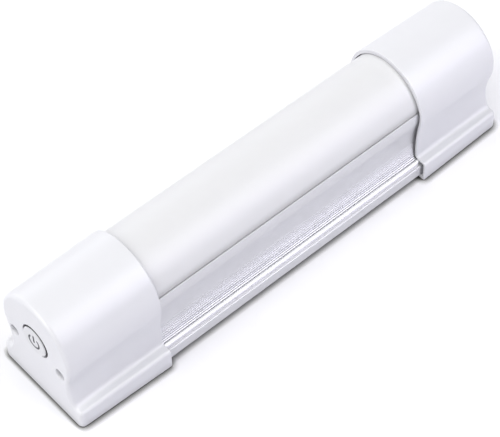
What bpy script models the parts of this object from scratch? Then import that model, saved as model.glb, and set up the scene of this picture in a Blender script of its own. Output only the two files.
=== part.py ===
"""LED light tube: a rechargeable light bar with an extruded base, a frosted cover and two end caps.

The frame's origin is under the middle of the bar, on the surface that it stands on. +X runs along
the bar from the switch end to the charging end, and +Z is up. Lengths are metres.
"""
import math
from dataclasses import dataclass, replace

import bmesh
import bpy
from mathutils import Vector
from mathutils.geometry import interpolate_bezier

MM = 0.001

# Driving dimensions of the whole bar
LENGTH = 190 * MM
CAP_LENGTH = 37 * MM
PROFILE_LENGTH = 140 * MM
TUBE_Z = 28.4 * MM
GAP = 0.3 * MM

# End caps
CAP_EDGE_RADIUS = 1.4 * MM
CAP_FACE = 2.2 * MM
CAP_WALL = 2.4 * MM
BAY_CORNER = 1.0 * MM
POST_RADIUS = 3.2 * MM
SCREW_Y = 11.6 * MM
SCREW_Z = 21.9 * MM
COUNTERBORE_RADIUS = 2.1 * MM
COUNTERBORE_DEPTH = 13 * MM
SCREW_HOLE_RADIUS = 1.4 * MM

# Base extrusion
WALL = 1.6 * MM
SHELF_TOP = 27.3 * MM
SHELF_UNDER = 25.0 * MM
LIP_TOP = 31.0 * MM
LIP_INNER_RADIUS = 14.5 * MM
BEAD_Y = 14.0 * MM
BEAD_BOTTOM = 30.0 * MM
RIB_PITCH = 0.7 * MM
RIB_HEIGHT = 0.25 * MM
RIB_TOP = 19.5 * MM

# Frosted cover, a little inside the base's tube
COVER_RADIUS = 15.8 * MM
COVER_WALL = 1.3 * MM
COVER_LEG_Y = 12.7 * MM
COVER_BARB_Y = 14.2 * MM
COVER_BARB_TOP = 29.7 * MM
COVER_LEG_BOTTOM = 28.2 * MM

# Power button and its switch
BUTTON_Z = 28.0 * MM
BUTTON_RADIUS = 5.6 * MM
BUTTON_HOLE_RADIUS = 6.3 * MM
BUTTON_PROUD = 0.4 * MM
BUTTON_FLANGE_RADIUS = 7.4 * MM
BUTTON_EDGE = 0.4 * MM
BUTTON_TRAVEL = 0.8 * MM
BUTTON_STEM_RADIUS = 2.2 * MM
BOARD_THICKNESS = 1.6 * MM
SWITCH_DEPTH = 3.5 * MM
SWITCH_SIDE = 6.0 * MM
PLUNGER_RADIUS = 1.7 * MM
PLUNGER_OUT = 1.0 * MM
PLUNGER_IN = 1.2 * MM
SWITCH_BOARD_SIZE = (13 * MM, 25.4 * MM)
SWITCH_BOARD_SCREWS_Z = (18.2 * MM, 38.4 * MM)

# LED board
LED_COUNT = 20
LED_PITCH = 6.0 * MM
LED_SIZE = (2.8 * MM, 3.5 * MM, 0.7 * MM)
LED_BOARD_SIZE = (138 * MM, 23 * MM)

# Battery cell, 18 mm class, 65 mm long
CELL_RADIUS = 9.2 * MM
CELL_LENGTH = 65 * MM
CELL_Z = 14.4 * MM
PAD_SIZE = (14 * MM, 9 * MM, 0.8 * MM)
PAD_X = 20 * MM

# Charge board and what is on it
CHARGE_BOARD_LENGTH = 20 * MM
CHARGE_BOARD_WIDTH = 20 * MM
CHARGE_BOARD_TOP = 10.0 * MM
INLET_SIZE = (7.4 * MM, 8.9 * MM, 3.2 * MM)
CHARGE_SCREW_Y = 7.9 * MM
CHARGE_SCREW_INSET = 5.5 * MM
CHARGE_PARTS_X = 82 * MM
CHARGE_BOARD_PARTS = (
    ("charger_chip", (4.9 * MM, 3.9 * MM, 1.5 * MM), 5.0 * MM, "black"),
    ("power_inductor", (5.0 * MM, 5.0 * MM, 3.0 * MM), -5.0 * MM, "ferrite"),
    ("filter_capacitor", (2.0 * MM, 1.25 * MM, 1.2 * MM), 0.0, "ceramic"),
)

# Small board screws, and leads
PILOT_RADIUS = 1.15 * MM
BOARD_SCREW_RADIUS = 0.85 * MM
BOARD_SCREW_HEAD = (1.9 * MM, 1.2 * MM)
LEAD_RADIUS = 0.7 * MM
LEAD_STEPS = 4

# Where the main pieces end along X
END_X = LENGTH / 2
CAP_MOUTH_X = END_X - CAP_LENGTH
PROFILE_END_X = PROFILE_LENGTH / 2
FACE_INNER_X = END_X - CAP_FACE
SHOULDER_X = PROFILE_END_X + GAP


@dataclass(frozen=True)
class Outline:
    """Cross-section of the bar: a round tube on a narrow waist that flares into two flat feet."""

    radius: float
    waist: float
    waist_z: float
    foot: float
    ledge_z: float
    hollow: float
    corner: float
    bottom_z: float


PROFILE = Outline(16.0 * MM, 14.6 * MM, 16.5 * MM, 19.4 * MM, 7.4 * MM, 2.8 * MM, 1.0 * MM, 2.0 * MM)
CAP_MOUTH = Outline(17.6 * MM, 16.4 * MM, 14.4 * MM, 21.0 * MM, 8.6 * MM, 1.6 * MM, 1.3 * MM, 0.0)
CAP_CLOSED = Outline(17.0 * MM, 14.9 * MM, 16.0 * MM, 20.0 * MM, 7.8 * MM, 2.6 * MM, 1.3 * MM, 0.0)
SLEEVE_MOUTH = Outline(16.4 * MM, 15.5 * MM, 14.8 * MM, 20.1 * MM, 8.0 * MM, 2.2 * MM, 1.0 * MM, 1.7 * MM)
BOTTOM_CORNER = 0.5 * MM


def inset(outline, depth):
    """Move every wall of an outline inwards by the same depth, and keep its corners' radii."""
    return replace(
        outline,
        radius=outline.radius - depth,
        waist=outline.waist - depth,
        foot=outline.foot - depth,
        ledge_z=outline.ledge_z - depth,
        bottom_z=outline.bottom_z + depth,
    )


def mixed(first, second, share):
    """An outline part of the way from one outline to another."""
    values = {
        name: getattr(first, name) * (1 - share) + getattr(second, name) * share
        for name in first.__dataclass_fields__
    }
    return Outline(**values)


def arc(centre, radius, start, end, steps):
    """Points on an arc, from one angle to another, both ends included."""
    angles = [start + (end - start) * i / steps for i in range(steps + 1)]
    return [(centre[0] + radius * math.cos(a), centre[1] + radius * math.sin(a)) for a in angles]


def flank_arcs(outline):
    """Centres, radii and angles of the waist arc and of the small arc onto the foot."""
    drop = TUBE_Z - outline.waist_z
    narrowing = outline.radius - outline.waist
    waist_radius = (outline.waist**2 + drop**2 - outline.radius**2) / (2 * narrowing)
    waist_centre = (outline.waist + waist_radius, outline.waist_z)
    tilt = math.atan2(drop, waist_centre[0])
    hollow_z = outline.ledge_z + outline.hollow
    reach = math.sqrt((waist_radius - outline.hollow) ** 2 - (hollow_z - outline.waist_z) ** 2)
    hollow_centre = (waist_centre[0] - reach, hollow_z)
    turn = math.pi + math.atan2(outline.waist_z - hollow_z, reach)
    return waist_centre, waist_radius, tilt, hollow_centre, turn


def flank(outline, waist_steps=8, hollow_steps=4):
    """The concave side of the outline, from the tube down to the ledge."""
    waist_centre, waist_radius, tilt, hollow_centre, turn = flank_arcs(outline)
    waist = arc(waist_centre, waist_radius, math.pi - tilt, turn, waist_steps)
    hollow = arc(hollow_centre, outline.hollow, turn, 1.5 * math.pi, hollow_steps)
    return waist + hollow[1:]


def foot(outline):
    """The foot's upper corner, its side and its lower corner."""
    upper = (outline.foot - outline.corner, outline.ledge_z - outline.corner)
    lower = (outline.foot - BOTTOM_CORNER, outline.bottom_z + BOTTOM_CORNER)
    return arc(upper, outline.corner, math.pi / 2, 0, 3) + arc(lower, BOTTOM_CORNER, 0, -math.pi / 2, 2)


def both_sides(half):
    """Close a half outline whose first point is on the middle plane."""
    mirrored = [(-y, z) for y, z in reversed(half) if y > 1e-9]
    return half + mirrored


def full_outline(outline):
    """The whole closed outline, starting at the top of the tube."""
    tilt = flank_arcs(outline)[2]
    tube = arc((0, TUBE_Z), outline.radius, math.pi / 2, -tilt, 14)
    tube[0] = (0.0, tube[0][1])
    return both_sides(tube[:-1] + flank(outline) + foot(outline))


def ribbed(path, top_z, pitch, height):
    """Fine ribs along a path, on the stretch that lies below top_z."""
    plain = [p for p in path if p[1] >= top_z]
    rest = [Vector(p) for p in path if p[1] < top_z]
    lengths = [0.0]
    for a, b in zip(rest, rest[1:]):
        lengths.append(lengths[-1] + (b - a).length)
    count = int(lengths[-1] / pitch)
    points = []
    for i in range(2 * count):
        along = i * pitch / 2
        k = max(j for j, length in enumerate(lengths) if length <= along)
        step = (rest[k + 1] - rest[k]).normalized()
        outward = Vector((-step.y, step.x))
        points.append(rest[k] + step * (along - lengths[k]) + outward * height * (i % 2))
    return plain + [tuple(p) for p in points] + [tuple(rest[-1])]


def profile_outline():
    """Outside of the base extrusion, with the open tray that holds the LED board and the cover."""
    lip_inner_y = math.sqrt(LIP_INNER_RADIUS**2 - (SHELF_TOP - TUBE_Z) ** 2)
    lip_angle = math.asin((LIP_TOP - TUBE_Z) / PROFILE.radius)
    tilt = flank_arcs(PROFILE)[2]
    tray = [(0.0, SHELF_TOP), (lip_inner_y, SHELF_TOP), (LIP_INNER_RADIUS, BEAD_BOTTOM - 0.4 * MM)]
    bead = [(BEAD_Y, BEAD_BOTTOM), (BEAD_Y, LIP_TOP - 0.3 * MM), (BEAD_Y + 0.3 * MM, LIP_TOP)]
    tube = arc((0, TUBE_Z), PROFILE.radius, lip_angle, -tilt, 6)
    side = ribbed(flank(PROFILE, 16, 6), RIB_TOP, RIB_PITCH, RIB_HEIGHT)
    return both_sides(tray + bead + tube[:-1] + side + foot(PROFILE))


def cavity_outline():
    """The hollow inside the base extrusion, under the shelf."""
    inner = inset(PROFILE, WALL)
    side = [p for p in flank(inner) if p[1] < SHELF_UNDER]
    top_y = flank(inner)[0][0]
    return both_sides([(0.0, SHELF_UNDER), (top_y, SHELF_UNDER)] + side + foot(inner))


def cover_outline():
    """The cover's arched shell, with a leg on each edge that snaps behind the base's lip."""
    edge_z = LIP_TOP + GAP
    outer_edge = math.asin((edge_z - TUBE_Z) / COVER_RADIUS)
    inner_radius = COVER_RADIUS - COVER_WALL
    inner_edge = math.radians(20)
    outer = arc((0, TUBE_Z), COVER_RADIUS, math.pi / 2, outer_edge, 14)
    outer[0] = (0.0, outer[0][1])
    leg_outer_y = BEAD_Y - GAP
    leg = [
        (leg_outer_y, edge_z),
        (leg_outer_y, COVER_BARB_TOP),
        (COVER_BARB_Y, COVER_BARB_TOP - 0.2 * MM),
        (leg_outer_y, COVER_LEG_BOTTOM),
        (COVER_LEG_Y, COVER_LEG_BOTTOM),
        (COVER_LEG_Y, edge_z),
    ]
    inner = arc((0, TUBE_Z), inner_radius, inner_edge, math.pi / 2, 12)
    half = outer + leg + inner[:-1]
    mirrored = [(-y, z) for y, z in reversed(half) if y > 1e-9]
    return half + [(0.0, TUBE_Z + inner_radius)] + mirrored


def clear_scene():
    """Start from an empty scene."""
    for old in list(bpy.data.objects):
        bpy.data.objects.remove(old, do_unlink=True)


def finish(name, colour, roughness, metallic=0.0):
    """A plain surface finish."""
    material = bpy.data.materials.new(name)
    material.use_nodes = True
    shader = material.node_tree.nodes["Principled BSDF"]
    shader.inputs["Base Color"].default_value = (*colour, 1.0)
    shader.inputs["Roughness"].default_value = roughness
    shader.inputs["Metallic"].default_value = metallic
    return material


def loft(name, rings, material, location=(0, 0, 0)):
    """One closed body through equal rings of points, with flat ends."""
    shape = bmesh.new()
    loops = [[shape.verts.new(point) for point in ring] for ring in rings]
    for near, far in zip(loops, loops[1:]):
        for i, corner in enumerate(near):
            j = (i + 1) % len(near)
            shape.faces.new((corner, near[j], far[j], far[i]))
    shape.faces.new(loops[0])
    shape.faces.new(list(reversed(loops[-1])))
    bmesh.ops.recalc_face_normals(shape, faces=shape.faces)
    mesh = bpy.data.meshes.new(name)
    shape.to_mesh(mesh)
    shape.free()
    mesh.shade_smooth()
    mesh.set_sharp_from_angle(angle=math.radians(30))
    if material:
        mesh.materials.append(material)
    body = bpy.data.objects.new(name, mesh)
    body.location = location
    bpy.context.scene.collection.objects.link(body)
    return body


def ring_at(outline, x):
    """An outline in the plane across the bar at x."""
    return [(x, y, z) for y, z in outline]


def prism(name, outline, x_range, material=None):
    """An outline drawn out along the bar."""
    return loft(name, [ring_at(outline, x) for x in x_range], material)


def turned(name, stations, material=None, location=(0, 0, 0), axis="X", segments=24):
    """A round piece: stations are (distance along the axis, radius)."""
    rings = []
    for along, radius in stations:
        circle = arc((0, 0), radius, 0, 2 * math.pi, segments)[:-1]
        if axis == "X":
            rings.append([(along, a, b) for a, b in circle])
        else:
            rings.append([(a, b, along) for a, b in circle])
    return loft(name, rings, material, location)


def block(name, size, centre, material=None):
    """A rectangular piece."""
    half = [value / 2 for value in size]
    corners = [(-half[1], -half[2]), (half[1], -half[2]), (half[1], half[2]), (-half[1], half[2])]
    return loft(name, [ring_at(corners, -half[0]), ring_at(corners, half[0])], material, centre)


def change(target, tool, operation):
    """Cut a tool out of a piece, or join it on."""
    tool.hide_render = True
    tool.display_type = "WIRE"
    step = target.modifiers.new(tool.name, "BOOLEAN")
    step.operation = operation
    step.solver = "EXACT"
    step.object = tool


def cut(target, tool):
    change(target, tool, "DIFFERENCE")


def join(target, tool):
    change(target, tool, "UNION")


def make_base_profile(material):
    """Aluminium extrusion: ribbed outside, cell bay inside, two screw channels under the shelf."""
    x_range = (-PROFILE_END_X, PROFILE_END_X)
    base = prism("base_profile", profile_outline(), x_range, material)
    past_ends = (-PROFILE_END_X - 5 * MM, PROFILE_END_X + 5 * MM)
    cut(base, prism("tool_cell_bay", cavity_outline(), past_ends))
    for side, label in ((-1, "left"), (1, "right")):
        place = (0, side * SCREW_Y, SCREW_Z)
        boss = turned(f"tool_boss_{label}", [(x, POST_RADIUS) for x in x_range], None, place)
        join(base, boss)
        hole = turned(f"tool_channel_{label}", [(x, SCREW_HOLE_RADIUS) for x in past_ends], None, place)
        cut(base, hole)
    return base


def make_cover(material):
    """Frosted cover over the LED board."""
    ends = (-PROFILE_END_X + GAP, PROFILE_END_X - GAP)
    return prism("diffuser", cover_outline(), ends, material)


def cap_rings(side):
    """Rings of a cap's outside, from its mouth to its rounded closed end."""
    rings = [ring_at(full_outline(CAP_MOUTH), side * CAP_MOUTH_X)]
    steps = 4
    for i in range(steps + 1):
        angle = math.pi / 2 * i / steps
        depth = CAP_EDGE_RADIUS * (1 - math.cos(angle))
        x = END_X - CAP_EDGE_RADIUS * (1 - math.sin(angle))
        shape = replace(inset(CAP_CLOSED, depth), bottom_z=min(depth, 0.3 * MM))
        rings.append(ring_at(full_outline(shape), side * x))
    return rings


def cap_shell(name, side, material):
    """A cap's shell: tapered sleeve over the base and cover, then a bay with two screw posts."""
    cap = loft(name, cap_rings(side), material)
    sleeve = [ring_at(full_outline(inset(PROFILE, -GAP)), side * SHOULDER_X)]
    for x in (CAP_MOUTH_X, CAP_MOUTH_X - 5 * MM):
        sleeve.append(ring_at(full_outline(SLEEVE_MOUTH), side * x))
    cut(cap, loft(f"tool_{name}_sleeve", sleeve, None))
    shoulder_share = (SHOULDER_X - CAP_MOUTH_X) / CAP_LENGTH
    near, far = (
        replace(inset(shape, CAP_WALL), hollow=BAY_CORNER, corner=BAY_CORNER)
        for shape in (mixed(CAP_MOUTH, CAP_CLOSED, shoulder_share), CAP_CLOSED)
    )
    bay = [ring_at(full_outline(near), side * (SHOULDER_X - 1 * MM))]
    bay.append(ring_at(full_outline(far), side * FACE_INNER_X))
    cut(cap, loft(f"tool_{name}_bay", bay, None))
    for hand, label in ((-1, "left"), (1, "right")):
        place = (0, hand * SCREW_Y, SCREW_Z)
        post_x = (side * (FACE_INNER_X + 0.6 * MM), side * (SHOULDER_X + 0.1 * MM))
        post = turned(f"tool_{name}_post_{label}", [(x, POST_RADIUS) for x in post_x], None, place)
        join(cap, post)
        bore_x = [side * (END_X + 1 * MM), side * (END_X - COUNTERBORE_DEPTH)]
        hole_x = [bore_x[1], side * (SHOULDER_X - 1 * MM)]
        stations = [(x, COUNTERBORE_RADIUS) for x in bore_x] + [(x, SCREW_HOLE_RADIUS) for x in hole_x]
        cut(cap, turned(f"tool_{name}_screw_{label}", stations, None, place))
    return cap


def make_switch_cap(material):
    """Cap at the switch end: button hole, and two pins for the switch board."""
    cap = cap_shell("switch_end_cap", -1, material)
    hole_x = (-END_X - 1 * MM, -FACE_INNER_X + 1 * MM)
    hole = [(x, BUTTON_HOLE_RADIUS) for x in hole_x]
    cut(cap, turned("tool_button_hole", hole, None, (0, 0, BUTTON_Z), segments=40))
    board_face_x = switch_board_x() - BOARD_THICKNESS / 2
    for height in SWITCH_BOARD_SCREWS_Z:
        label = round(height / MM)
        place = (0, 0, height)
        pin = [(x, 2 * MM) for x in (-FACE_INNER_X - 0.6 * MM, board_face_x - GAP)]
        join(cap, turned(f"tool_board_pin_{label}", pin, None, place, segments=16))
        pilot = [(x, PILOT_RADIUS) for x in (-FACE_INNER_X + 1 * MM, board_face_x + 1 * MM)]
        cut(cap, turned(f"tool_board_pilot_{label}", pilot, None, place, segments=16))
    return cap


def rounded_slot(half_width, half_height, steps=4):
    """A flat slot with round ends, as (y, z) points."""
    middle = half_width - half_height
    right = arc((middle, 0), half_height, -math.pi / 2, math.pi / 2, 2 * steps)
    left = arc((-middle, 0), half_height, math.pi / 2, 1.5 * math.pi, 2 * steps)
    return right + left


def make_charge_cap(material):
    """Cap at the charging end: a slot for the inlet, and two standoffs for the charge board."""
    cap = cap_shell("charge_end_cap", 1, material)
    width, height = INLET_SIZE[1:]
    slot = [(y, z + inlet_z()) for y, z in rounded_slot(width / 2 + 2 * GAP, height / 2 + 2 * GAP)]
    cut(cap, prism("tool_inlet_slot", slot, (FACE_INNER_X - 1 * MM, END_X + 1 * MM)))
    top = CHARGE_BOARD_TOP - BOARD_THICKNESS - GAP
    for hand, label in ((-1, "left"), (1, "right")):
        place = (charge_screw_x(), hand * CHARGE_SCREW_Y, 0)
        standoff = [(CAP_WALL - 0.6 * MM, 2.2 * MM), (top, 2.2 * MM)]
        join(cap, turned(f"tool_standoff_{label}", standoff, None, place, "Z", 16))
        pilot = [(CAP_WALL + 0.8 * MM, PILOT_RADIUS), (top + 1 * MM, PILOT_RADIUS)]
        cut(cap, turned(f"tool_standoff_pilot_{label}", pilot, None, place, "Z", 16))
    return cap


def switch_board_x():
    """Middle of the switch board, set by the button, its travel and the switch in front of it."""
    return -FACE_INNER_X + 8.8 * MM


def inlet_z():
    """Middle of the charging inlet, on top of the charge board."""
    return CHARGE_BOARD_TOP + GAP + INLET_SIZE[2] / 2


def charge_screw_x():
    return END_X - CHARGE_SCREW_INSET


def make_button(material, carrier):
    """Power button: a face just proud of the cap, a flange behind the cap's face, and a stem."""
    face_x = -END_X - BUTTON_PROUD
    flange_x = -FACE_INNER_X + GAP
    stem_end_x = switch_front_x() - PLUNGER_OUT - GAP
    stations = [
        (face_x, BUTTON_RADIUS - BUTTON_EDGE),
        (face_x + 0.3 * BUTTON_EDGE, BUTTON_RADIUS - 0.3 * BUTTON_EDGE),
        (face_x + BUTTON_EDGE, BUTTON_RADIUS),
        (flange_x, BUTTON_RADIUS),
        (flange_x, BUTTON_FLANGE_RADIUS),
        (flange_x + 1.2 * MM, BUTTON_FLANGE_RADIUS),
        (flange_x + 1.2 * MM, BUTTON_STEM_RADIUS),
        (stem_end_x, BUTTON_STEM_RADIUS),
    ]
    local = [(x - carrier.location.x, radius) for x, radius in stations]
    button = turned("power_button", local, material, segments=40)
    button.parent = carrier
    return button


def switch_front_x():
    """Front of the push switch, which sits on the switch board and faces the button."""
    return switch_board_x() - BOARD_THICKNESS / 2 - GAP - SWITCH_DEPTH


def make_switch(body_material, plunger_material, board_material, screw_material, carrier):
    """Push switch behind the button, on its board, with the board's screws."""
    front = switch_front_x()
    centre = (front + SWITCH_DEPTH / 2, 0, BUTTON_Z)
    body = block("tact_switch", (SWITCH_DEPTH, SWITCH_SIDE, SWITCH_SIDE), centre, body_material)
    bore_end = front + PLUNGER_IN + BUTTON_TRAVEL + GAP
    bore = [(x, PLUNGER_RADIUS + GAP) for x in (front - 1 * MM, bore_end)]
    cut(body, turned("tool_plunger_bore", bore, None, (0, 0, BUTTON_Z), segments=16))
    plunger_x = [front - PLUNGER_OUT, front + PLUNGER_IN]
    local = [(x - carrier.location.x, PLUNGER_RADIUS) for x in plunger_x]
    plunger = turned("switch_plunger", local, plunger_material, segments=16)
    plunger.parent = carrier
    width, height = SWITCH_BOARD_SIZE
    middle_z = sum(SWITCH_BOARD_SCREWS_Z) / 2
    size = (BOARD_THICKNESS, width, height)
    board = block("switch_board", size, (switch_board_x(), 0, middle_z), board_material)
    through = [(switch_board_x() - 2 * MM, PILOT_RADIUS), (switch_board_x() + 2 * MM, PILOT_RADIUS)]
    head_x = switch_board_x() + BOARD_THICKNESS / 2 + GAP
    for screw_z, label in zip(SWITCH_BOARD_SCREWS_Z, ("lower", "upper")):
        cut(board, turned(f"tool_switch_board_hole_{label}", through, None, (0, 0, screw_z), segments=16))
        board_screw(f"switch_board_screw_{label}", (head_x, 0, screw_z), "X", -1, screw_material)


def board_screw(name, place, axis, direction, material):
    """Small pan-head screw; its shank runs from the head's underside along the direction."""
    head_radius, head_height = BOARD_SCREW_HEAD
    stations = [
        (-direction * head_height, 0.7 * head_radius),
        (-direction * 0.6 * head_height, head_radius),
        (0, head_radius),
        (0, BOARD_SCREW_RADIUS),
        (direction * 5.0 * MM, BOARD_SCREW_RADIUS),
        (direction * 5.5 * MM, 0.3 * BOARD_SCREW_RADIUS),
    ]
    return turned(name, stations, material, place, axis, 14)


def make_end_screws(material):
    """Four long screws, one deep in each cap hole, that pull the caps onto the base."""
    head_radius = COUNTERBORE_RADIUS - 0.25 * MM
    shank_radius = SCREW_HOLE_RADIUS - GAP
    seat_x = END_X - COUNTERBORE_DEPTH - GAP + 0.6 * MM
    tip_x = PROFILE_END_X - 9 * MM
    for side, end in ((-1, "switch"), (1, "charge")):
        for hand, label in ((-1, "left"), (1, "right")):
            stations = [
                (seat_x + 1.8 * MM, 0.75 * head_radius),
                (seat_x + 1.2 * MM, head_radius),
                (seat_x, head_radius),
                (seat_x, shank_radius),
                (tip_x + 1.5 * MM, shank_radius),
                (tip_x, 0.3 * shank_radius),
            ]
            mirrored = [(side * x, radius) for x, radius in stations]
            place = (0, hand * SCREW_Y, SCREW_Z)
            turned(f"end_screw_{end}_{label}", mirrored, material, place, segments=14)


def make_led_board(board_material, led_material):
    """Metal-core board on the shelf, with one row of LEDs."""
    length, width = LED_BOARD_SIZE
    bottom = SHELF_TOP + GAP
    centre = (0, 0, bottom + BOARD_THICKNESS / 2)
    block("led_board", (length, width, BOARD_THICKNESS), centre, board_material)
    led_z = bottom + BOARD_THICKNESS + GAP + LED_SIZE[2] / 2
    for i in range(LED_COUNT):
        x = (i - (LED_COUNT - 1) / 2) * LED_PITCH
        block(f"led_{i + 1:02d}", LED_SIZE, (x, 0, led_z), led_material)


def make_battery(cell_material, pad_material):
    """Lithium cell in the bay, with its contact nub towards the charging end, on two pads."""
    half = CELL_LENGTH / 2
    stations = [
        (-half, CELL_RADIUS - 0.5 * MM),
        (-half + 0.5 * MM, CELL_RADIUS),
        (half - 0.5 * MM, CELL_RADIUS),
        (half, CELL_RADIUS - 0.5 * MM),
        (half, 2.8 * MM),
        (half + 0.9 * MM, 2.6 * MM),
    ]
    turned("battery_cell", stations, cell_material, (0, 0, CELL_Z), segments=32)
    pad_z = CELL_Z - CELL_RADIUS - GAP - PAD_SIZE[2] / 2
    for side, label in ((-1, "switch_end"), (1, "charge_end")):
        block(f"cell_pad_{label}", PAD_SIZE, (side * PAD_X, 0, pad_z), pad_material)


def make_charge_board(materials):
    """Charge board in the charging end, with its inlet, chip, inductor, capacitor and screws."""
    board_end_x = FACE_INNER_X - 0.5 * MM
    centre_x = board_end_x - CHARGE_BOARD_LENGTH / 2
    size = (CHARGE_BOARD_LENGTH, CHARGE_BOARD_WIDTH, BOARD_THICKNESS)
    centre = (centre_x, 0, CHARGE_BOARD_TOP - BOARD_THICKNESS / 2)
    board = block("charge_board", size, centre, materials["board"])
    on_top = CHARGE_BOARD_TOP + GAP
    through = [(CHARGE_BOARD_TOP - 3 * MM, PILOT_RADIUS), (CHARGE_BOARD_TOP + 1 * MM, PILOT_RADIUS)]
    for hand, label in ((-1, "left"), (1, "right")):
        place = (charge_screw_x(), hand * CHARGE_SCREW_Y, 0)
        cut(board, turned(f"tool_charge_board_hole_{label}", through, None, place, "Z", 16))
        head = (charge_screw_x(), hand * CHARGE_SCREW_Y, on_top)
        board_screw(f"charge_board_screw_{label}", head, "Z", -1, materials["steel"])
    length, width, height = INLET_SIZE
    mouth_x = END_X - 0.8 * MM
    shell_outline = [(y, z + inlet_z()) for y, z in rounded_slot(width / 2, height / 2)]
    shell = prism("usb_inlet", shell_outline, (mouth_x - length, mouth_x), materials["steel"])
    hollow = [(y, z + inlet_z()) for y, z in rounded_slot(width / 2 - GAP, height / 2 - GAP)]
    cut(shell, prism("tool_inlet_hollow", hollow, (mouth_x - length + 1 * MM, mouth_x + 1 * MM)))
    tongue_size = (length - 2.5 * MM, width - 2.4 * MM, 0.7 * MM)
    tongue_centre = (mouth_x - 0.7 * MM - tongue_size[0] / 2, 0, inlet_z())
    block("usb_tongue", tongue_size, tongue_centre, materials["black"])
    for name, size, y, look in CHARGE_BOARD_PARTS:
        place = (CHARGE_PARTS_X, y, on_top + size[2] / 2)
        block(name, size, place, materials[look])


def lead_slopes(knots):
    """Unit slopes at a route's points, each along the line between the two neighbouring points."""
    before = knots[:1] + knots[:-1]
    after = knots[1:] + knots[-1:]
    return [(b - a).normalized() for a, b in zip(before, after)]


def make_lead(name, route, material):
    """An insulated lead along a smooth curve through its route's points, in millimetres."""
    knots = [Vector(p) * MM for p in route]
    slopes = lead_slopes(knots)
    points = [knots[0]]
    for a, b, slope_a, slope_b in zip(knots, knots[1:], slopes, slopes[1:]):
        reach = (b - a).length / 3
        bend = interpolate_bezier(a, a + slope_a * reach, b - slope_b * reach, b, LEAD_STEPS)
        points.extend(bend[1:])
    curve = bpy.data.curves.new(name, "CURVE")
    curve.dimensions = "3D"
    curve.bevel_depth = LEAD_RADIUS
    curve.bevel_resolution = 1
    curve.use_fill_caps = True
    spline = curve.splines.new("POLY")
    spline.points.add(len(points) - 1)
    for target, point in zip(spline.points, points):
        target.co = (*point, 1.0)
    curve.materials.append(material)
    lead = bpy.data.objects.new(name, curve)
    bpy.context.scene.collection.objects.link(lead)


# Routes of the leads inside the bar, in millimetres, from the piece that each one feeds
LEAD_ROUTES = {
    "battery_lead_positive": [
        (34.4, 0, 14.4), (38, 0.8, 13.6), (50, 4.6, 12), (64, 7.4, 11.8), (75, 7.5, 11.4),
    ],
    "battery_lead_negative": [
        (-33.6, 0, 14.4), (-36.6, -1.5, 13.8), (-38.6, -6.5, 10.5), (-35.6, -10.4, 6.8),
        (-29, -11.4, 5.9), (50, -11.4, 5.9), (62, -9.6, 8.2), (68, -8.2, 11), (75, -7.5, 11.4),
    ],
    "led_lead_positive": [
        (67, 3, 30.6), (70.5, 3, 30.8), (73.4, 3.2, 28),
        (74.6, 3.4, 20), (76, 3.6, 13.5), (78, 3.6, 11.4),
    ],
    "led_lead_negative": [
        (67, -3, 30.6), (70.5, -3, 30.8), (73.4, -3.2, 28),
        (74.6, -3.4, 20), (76, -3.6, 13.5), (78, -3.6, 11.4),
    ],
    "switch_lead_live": [
        (-82, -4, 30), (-79, -3, 27), (-76.5, 3, 17), (-74, 9, 8.6), (-68, 11.6, 6),
        (-60, 11.6, 5.9), (60, 11.6, 5.9), (66, 10.8, 7.4), (70, 9.6, 11), (76, 9.2, 11.4),
    ],
    "switch_lead_return": [
        (-82, 4, 30), (-79, 4.6, 27), (-76.5, 7.2, 17), (-74, 10, 11.4), (-68, 12, 8.4),
        (-60, 12, 8.2), (58, 12, 8.2), (64, 11.6, 10.5), (69, 11, 13.4), (76, 9.2, 13.6),
    ],
}


def main():
    clear_scene()
    white = finish("white_abs", (0.86, 0.86, 0.88), 0.35)
    aluminium = finish("anodised_aluminium", (0.72, 0.72, 0.75), 0.35, 1.0)
    frosted = finish("frosted_cover", (0.93, 0.93, 0.94), 0.45)
    steel = finish("plated_steel", (0.6, 0.6, 0.62), 0.3, 1.0)
    green = finish("green_board", (0.05, 0.22, 0.1), 0.4)
    white_board = finish("white_board", (0.85, 0.85, 0.83), 0.4)
    phosphor = finish("led_phosphor", (0.9, 0.8, 0.25), 0.4)
    wrap = finish("cell_wrap", (0.1, 0.3, 0.5), 0.35)
    foam = finish("foam_pad", (0.2, 0.2, 0.2), 0.95)
    black = finish("black_plastic", (0.03, 0.03, 0.03), 0.4)
    ferrite = finish("ferrite", (0.08, 0.08, 0.09), 0.6)
    ceramic = finish("ceramic", (0.55, 0.4, 0.28), 0.5)
    red_wire = finish("red_insulation", (0.6, 0.04, 0.03), 0.4)
    black_wire = finish("black_insulation", (0.02, 0.02, 0.02), 0.4)
    button_carrier = bpy.data.objects.new("power_button_travel", None)
    button_carrier.location = (-END_X, 0, BUTTON_Z)
    bpy.context.scene.collection.objects.link(button_carrier)
    make_base_profile(aluminium)
    make_cover(frosted)
    make_switch_cap(white)
    make_charge_cap(white)
    make_button(white, button_carrier)
    make_switch(black, black, green, steel, button_carrier)
    make_end_screws(steel)
    make_led_board(white_board, phosphor)
    make_battery(wrap, foam)
    make_charge_board(
        {"board": green, "steel": steel, "black": black, "ferrite": ferrite, "ceramic": ceramic}
    )
    for name, route in LEAD_ROUTES.items():
        make_lead(name, route, red_wire if name.endswith(("positive", "live")) else black_wire)


main()
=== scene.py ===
"""Looks of the LED light tube: moulded end caps, frosted cover, anodised base and what is inside.

Lengths are metres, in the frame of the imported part: +X runs along the bar to the charging end,
+Z is up, and the bar stands on z = 0.
"""

import math
from dataclasses import dataclass, replace

import bmesh
import bpy
from mathutils import Matrix, Vector


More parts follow.
